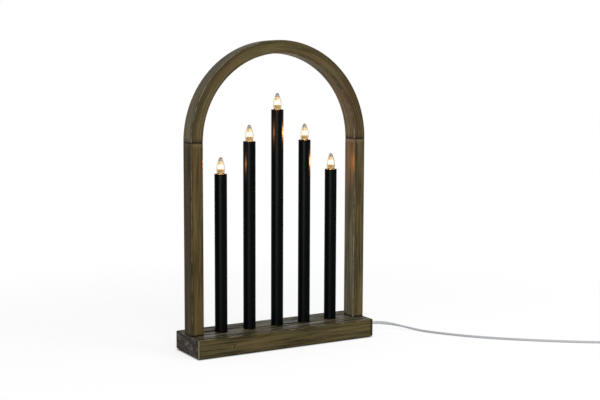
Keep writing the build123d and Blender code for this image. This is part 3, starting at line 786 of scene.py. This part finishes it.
def black_plastic(name, color, smoothest, roughest):
    m = new_material(name)
    place = m.position()
    haze = m.noise(m.scaled(place, HAZE_SCALE), 1.0, HAZE_DETAIL, HAZE_ROUGHNESS)
    speck = m.noise(place, SPECK_SCALE, SPECK_DETAIL, SPECK_ROUGHNESS)
    tint = m.mix(m.smooth(haze, *HAZE_COLOR_LIMITS), color, shaded(color, HAZE_GAIN))
    rough = m.smooth(haze, *HAZE_ROUGH_LIMITS, smoothest, roughest)
    m.surface(
        tint,
        rough,
        m.bump(speck, *PLASTIC_BUMP),
        IOR=PLASTIC_IOR,
        Specular_IOR_Level=PLASTIC_SPECULAR,
        Specular_Tint=PLASTIC_TINT,
    )
    return m.owner


tube_black = black_plastic("satin_black", (0.0014, 0.0015, 0.0016), smoothest=0.36, roughest=0.42)
holder_black = black_plastic("moulded_black", (0.0016, 0.0015, 0.0014), smoothest=0.4, roughest=0.5)
for n in CANDLES:
    paint(nodes[f"candle_tube_{n}"], tube_black)
    paint(nodes[f"lamp_holder_{n}"], holder_black)

# Metals, felt, board and other plastics
FINE_DETAIL, FINE_ROUGHNESS = 4, 0.6
FINE_LIMITS = (0.3, 0.7)
BRUSHED_SCALE, BRUSHED_SHADE = (900, 900, 60), 0.82
METAL_BUMP = (0.08, 0.00008)
METAL_SMOOTHER, METAL_ROUGHER = 0.06, 0.08
PLAIN_BUMP = 0.3
PLAIN_ROUGH_SPREAD = 0.05


def metal(name, color, rough):
    m = new_material(name)
    brushed = m.noise(m.scaled(m.position(), BRUSHED_SCALE), 1.0, FINE_DETAIL, FINE_ROUGHNESS)
    tint = m.mix(m.smooth(brushed, *FINE_LIMITS), shaded(color, BRUSHED_SHADE), color)
    spread = m.smooth(brushed, *FINE_LIMITS, rough - METAL_SMOOTHER, rough + METAL_ROUGHER)
    m.surface(tint, spread, m.bump(brushed, *METAL_BUMP), Metallic=1.0)
    return m.owner


def plain(name, color, rough, scale, depth=0.0001, shade=0.8):
    m = new_material(name)
    grainy = m.noise(m.position(), scale, FINE_DETAIL, FINE_ROUGHNESS)
    tint = m.mix(m.smooth(grainy, *FINE_LIMITS), shaded(color, shade), color)
    least, most = rough - PLAIN_ROUGH_SPREAD, rough + PLAIN_ROUGH_SPREAD
    m.surface(tint, m.smooth(grainy, *FINE_LIMITS, least, most), m.bump(grainy, PLAIN_BUMP, depth))
    return m.owner


brass = metal("stamped_brass", (0.72, 0.49, 0.17), rough=0.30)
cap_brass = metal("rolled_brass", (0.80, 0.62, 0.30), rough=0.24)
steel = metal("zinc_steel", (0.62, 0.62, 0.60), rough=0.34)
nickel = metal("nickel_pins", (0.72, 0.70, 0.66), rough=0.18)
insulator = plain("contact_insulator", (0.03, 0.03, 0.035), rough=0.25, scale=400)
BOARD, FELT = (0.115, 0.066, 0.032), (0.022, 0.019, 0.017)
board = plain("pressed_board", BOARD, rough=0.6, scale=700, depth=0.0002, shade=0.55)
felt = plain("dark_felt", FELT, rough=0.95, scale=1400, depth=0.0006, shade=0.5)
beech = plain("beech", (0.42, 0.27, 0.14), rough=0.6, scale=500, depth=0.0002)
clamp_plastic = plain("clamp_plastic", (0.55, 0.55, 0.52), rough=0.45, scale=300, shade=0.92)
wire_plastic = plain("wire_insulation", (0.55, 0.55, 0.52), rough=0.5, scale=300, shade=0.92)
flex_white = plain("flex_white", (0.60, 0.62, 0.65), rough=0.42, scale=260, shade=0.93)
tie_band = plain("tie_band", (0.60, 0.60, 0.58), rough=0.5, scale=300, shade=0.9)
plug_white = plain("plug_white", (0.62, 0.62, 0.60), rough=0.4, scale=420, shade=0.94)
for n in CANDLES:
    paint(nodes[f"thread_shell_{n}"], brass)
    paint(nodes[f"contact_spring_{n}"], brass)
    paint(nodes[f"bulb_contact_{n}"], insulator)
paint(nodes["clamp_screws"], steel)
paint(nodes["plug_pins"], nickel)
paint(nodes["bottom_cover"], board)
paint(nodes["felt_pads"], felt)
paint(nodes["arch_dowels"], beech)
paint(nodes["cord_clamp"], clamp_plastic)
paint(nodes["link_wires"], wire_plastic)
paint(nodes["supply_wires"], wire_plastic)
paint(cord, flex_white)
paint(nodes["cord_tie"], tie_band)
paint(nodes["plug_body"], plug_white)

# Glass of the lamps: tints by height in the glass, as stains, and a painted dark reflection along
# its rim
GLASS_COLLAR = (0.74, 0.62, 0.42)
GLASS_BELLY = ((0.36, 0.41), 1.0, (1.0, 0.98, 0.92))
GLASS_SHOULDER = ((0.62, 0.70), 1.0, (0.94, 0.82, 0.60))
GLASS_TIP = ((0.74, 0.83), 1.0, (0.54, 0.51, 0.45))
GLASS_RIM_REFLECTION = ((0.36, 0.74), 1.0, (0.60, 0.49, 0.33))
RIM_BLEND = 0.5
WAVE_SCALE, WAVE_DETAIL, WAVE_ROUGHNESS = 160.0, 2, 0.4
GLASS_BUMP = (0.06, 0.0006)
GLASS_ROUGHNESS, GLASS_IOR = 0.02, 1.46

# Light stem: where its upper part and its foot shine, by height, and their warm colours
STEM_COLOR, STEM_ROUGHNESS = (0.55, 0.36, 0.15), 0.4
SHINE_START, SHINE_TOP, SHINE_LEAST = (0.65, 0.69), (0.95, 0.82), 0.25
FOOT_START, FOOT_TOP, FOOT_SHINE = (0.37, 0.42), (0.53, 0.47), 0.55
SHINE_LOW = (1.0, 0.80, 0.52)
SHINE_MIDDLE = ((0.65, 0.72), 1.0, (1.0, 0.94, 0.80))
SHINE_HIGH = ((0.81, 0.92), 1.0, (1.0, 0.80, 0.48))
SHINE_STRENGTH = 1.08

# Glows that the lamps throw on the pieces around them: power in watts and colour
GLOW_SIZE = 0.004
GLOW_BELOW_TIP = 0.0145
WOOD_GLOW = (0.028, (1.0, 0.16, 0.0))
TUBE_GLOSS = (1.4, (1.0, 0.38, 0.11))
POST_GLOW = (0.10, (1.0, 0.09, 0.0))
POST_GLOSS = {1: (0.5, (1.0, 0.26, 0.0)), 5: (2.6, (1.0, 0.26, 0.0))}


def lamp_glass():
    m = new_material("lamp_glass")
    wave = m.noise(m.position(), WAVE_SCALE, WAVE_DETAIL, WAVE_ROUGHNESS)
    height = m.box_height()
    rim = m.add("ShaderNodeLayerWeight")
    rim.inputs["Blend"].default_value = RIM_BLEND
    tint = m.stain(GLASS_COLLAR, height, GLASS_BELLY)
    tint = m.stain(tint, height, GLASS_SHOULDER)
    tint = m.stain(tint, height, GLASS_TIP)
    # Painted reflection: the glass darkens where it is seen edge-on
    tint = m.stain(tint, rim.outputs["Facing"], GLASS_RIM_REFLECTION)
    normal = m.bump(wave, *GLASS_BUMP)
    m.surface(tint, GLASS_ROUGHNESS, normal, IOR=GLASS_IOR, Transmission_Weight=1.0)
    return m.owner


def light_stem():
    m = new_material("light_stem")
    height = m.box_height()
    fade = m.smooth(height, *SHINE_TOP, SHINE_LEAST, 1.0)
    shine = m.math("MULTIPLY", m.smooth(height, *SHINE_START), fade)
    foot = m.math("MULTIPLY", m.smooth(height, *FOOT_START), m.smooth(height, *FOOT_TOP))
    shine = m.math("MULTIPLY_ADD", foot, FOOT_SHINE, shine)
    warm = m.stain(SHINE_LOW, height, SHINE_MIDDLE)
    warm = m.stain(warm, height, SHINE_HIGH)
    shader = m.surface(STEM_COLOR, STEM_ROUGHNESS)
    m.link(warm, shader.inputs["Emission Color"])
    m.link(m.math("MULTIPLY", shine, SHINE_STRENGTH), shader.inputs["Emission Strength"])
    return m.owner


def add_glow(n, power, color, pieces):
    low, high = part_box(f"bulb_glass_{n}")
    data = bpy.data.lights.new(f"glow_{n}", "POINT")
    data.energy = power
    data.color = color
    data.shadow_soft_size = GLOW_SIZE
    lamp = bpy.data.objects.new(f"glow_{n}", data)
    scene.collection.objects.link(lamp)
    middle_x, middle_y = ((low[k] + high[k]) / 2 for k in range(2))
    lamp.location = (middle_x, middle_y, high[2] - GLOW_BELOW_TIP)
    lamp.visible_camera = False
    lamp.visible_transmission = False
    lamp.light_linking.receiver_collection = pieces
    return lamp


# Lamp caps: the rolled screw thread, inside the plain cap's outline
THREAD_PITCH = 0.0254 / 14
THREAD_FOOT, THREAD_HEAD, THREAD_RUN_OUT = 0.0003, 0.0004, 0.0009
CAP_CREST, CAP_ROOT, CAP_BORE = 0.00475, 0.00443, 0.00435
CAP_RIM, CAP_HOLE = 0.005, 0.0026
CAP_LENGTH, RIM_HEIGHT, CAP_WALL = 0.0116, 0.0008, 0.0004
WALL_TOP = CAP_LENGTH - RIM_HEIGHT
FOOT_EASE, FOOT_RISE, RIM_EASE = 0.0003, 0.0002, 0.0001
CAP_STEPS, THREAD_STEPS = 48, 60
CAP_SHARP = math.radians(50)


def cap_radius(height, turn):
    """Radius of the threaded wall, with the thread run out at both ends."""
    wave = 0.5 + 0.5 * math.cos(2 * math.pi * (height / THREAD_PITCH - turn))
    low = min(max((height - THREAD_FOOT) / THREAD_RUN_OUT, 0), 1)
    high = min(max((WALL_TOP - THREAD_HEAD - height) / THREAD_RUN_OUT, 0), 1)
    return CAP_ROOT + (CAP_CREST - CAP_ROOT) * wave * low * high


def cap_rows():
    """Radius and height of each ring of the cap, with no radius for the threaded ones."""
    rows = [(CAP_HOLE, 0.0), (CAP_ROOT - FOOT_EASE, 0.0)]
    for k in range(THREAD_STEPS + 1):
        rows.append((None, FOOT_RISE + (WALL_TOP - FOOT_RISE) * k / THREAD_STEPS))
    rows += [(CAP_RIM, CAP_LENGTH - RIM_EASE), (CAP_RIM - RIM_EASE, CAP_LENGTH)]
    rows += [(CAP_RIM - CAP_WALL, CAP_LENGTH), (CAP_BORE, WALL_TOP)]
    return rows + [(CAP_BORE, CAP_WALL), (CAP_HOLE, CAP_WALL)]


def make_cap(n):
    low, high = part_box(f"bulb_cap_{n}")
    middle = Vector(((low[0] + high[0]) / 2, (low[1] + high[1]) / 2, low[2]))
    rows = cap_rows()
    verts, faces = [], []
    for radius, height in rows:
        for k in range(CAP_STEPS):
            turn = k / CAP_STEPS
            reach = cap_radius(height, turn) if radius is None else radius
            around = Vector((math.cos(2 * math.pi * turn), math.sin(2 * math.pi * turn), 0))
            verts.append(middle + reach * around + Vector((0, 0, height)))
    for row in range(len(rows)):
        a, b = row * CAP_STEPS, (row + 1) % len(rows) * CAP_STEPS
        for k in range(CAP_STEPS):
            after = (k + 1) % CAP_STEPS
            faces.append((a + k, a + after, b + after, b + k))
    cap = new_object(f"lamp_cap_{n}", verts, faces)
    cap.data.set_sharp_from_angle(angle=CAP_SHARP)
    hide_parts(f"bulb_cap_{n}")
    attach(cap, f"bulb_{n}")
    paint(cap, cap_brass)


# Wood screws: cross recesses, cut from below into copies of the plain screws
HEAD_PLANE = 0.0019
CUTTER_LEAD = 0.0002
RECESS_TAPER = 0.5
WELD = 1e-6
SCREW_SHARP = math.radians(35)
POST_SCREWS = [(x, y) for x in (-0.142, 0.142) for y in (-0.007, 0.007)]
COVER_SCREWS = [(x, y) for x in (-0.128, 0.128) for y in (-0.015, 0.015)]


def cross_cutter(places, arm, half, depth):
    """Plus-shaped prisms that narrow from the heads' faces inwards."""
    corners = [(arm, -half), (arm, half), (half, half), (half, arm), (-half, arm), (-half, half)]
    corners += [(-u, -v) for u, v in corners]
    count = len(corners)
    ends = ((HEAD_PLANE - CUTTER_LEAD, 1.0), (HEAD_PLANE + depth, RECESS_TAPER))
    verts, faces = [], []
    for x, y in places:
        low = list(range(len(verts), len(verts) + count))
        high = [k + count for k in low]
        for height, share in ends:
            verts += [(x + share * u, y + share * v, height) for u, v in corners]
        faces += [low[::-1], high]
        faces += [(low[k - 1], low[k], high[k], high[k - 1]) for k in range(count)]
    return new_object("cross_cutter", verts, faces, smooth=False)


def cut_heads(node, name, places, arm, half, depth):
    plain_screws = nodes[node]
    verts = [plain_screws.matrix_world @ v.co for v in plain_screws.data.vertices]
    screws = new_object(name, verts, [tuple(p.vertices) for p in plain_screws.data.polygons])
    shape = bmesh.new()
    shape.from_mesh(screws.data)
    bmesh.ops.remove_doubles(shape, verts=shape.verts, dist=WELD)
    shape.to_mesh(screws.data)
    shape.free()
    cutter = cross_cutter(places, arm, half, depth)
    cut = screws.modifiers.new("recess", "BOOLEAN")
    cut.operation = "DIFFERENCE"
    cut.solver = "EXACT"
    cut.object = cutter
    made = screws.evaluated_get(bpy.context.evaluated_depsgraph_get())
    screws.data = bpy.data.meshes.new_from_object(made)
    screws.modifiers.clear()
    bpy.data.objects.remove(cutter)
    screws.data.set_sharp_from_angle(angle=SCREW_SHARP)
    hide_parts(node)
    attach(screws, "root")
    paint(screws, steel)


cut_heads(
    "post_screws",
    "cross_head_post_screws",
    POST_SCREWS,
    arm=0.0024,
    half=0.00055,
    depth=0.0017,
)
cut_heads(
    "cover_screws",
    "cross_head_cover_screws",
    COVER_SCREWS,
    arm=0.0016,
    half=0.00038,
    depth=0.0012,
)

glass = lamp_glass()
stem = light_stem()
for n in CANDLES:
    for name, material in ((f"bulb_glass_{n}", glass), (f"bulb_led_{n}", stem)):
        paint(nodes[name], material)
        nodes[name].visible_shadow = False
    make_cap(n)
    add_glow(n, *WOOD_GLOW, woodwork)
    add_glow(n, *TUBE_GLOSS, tubes).visible_diffuse = False
for n, gloss in POST_GLOSS.items():
    add_glow(n, *POST_GLOW, posts)
    add_glow(n, *gloss, posts).visible_diffuse = False
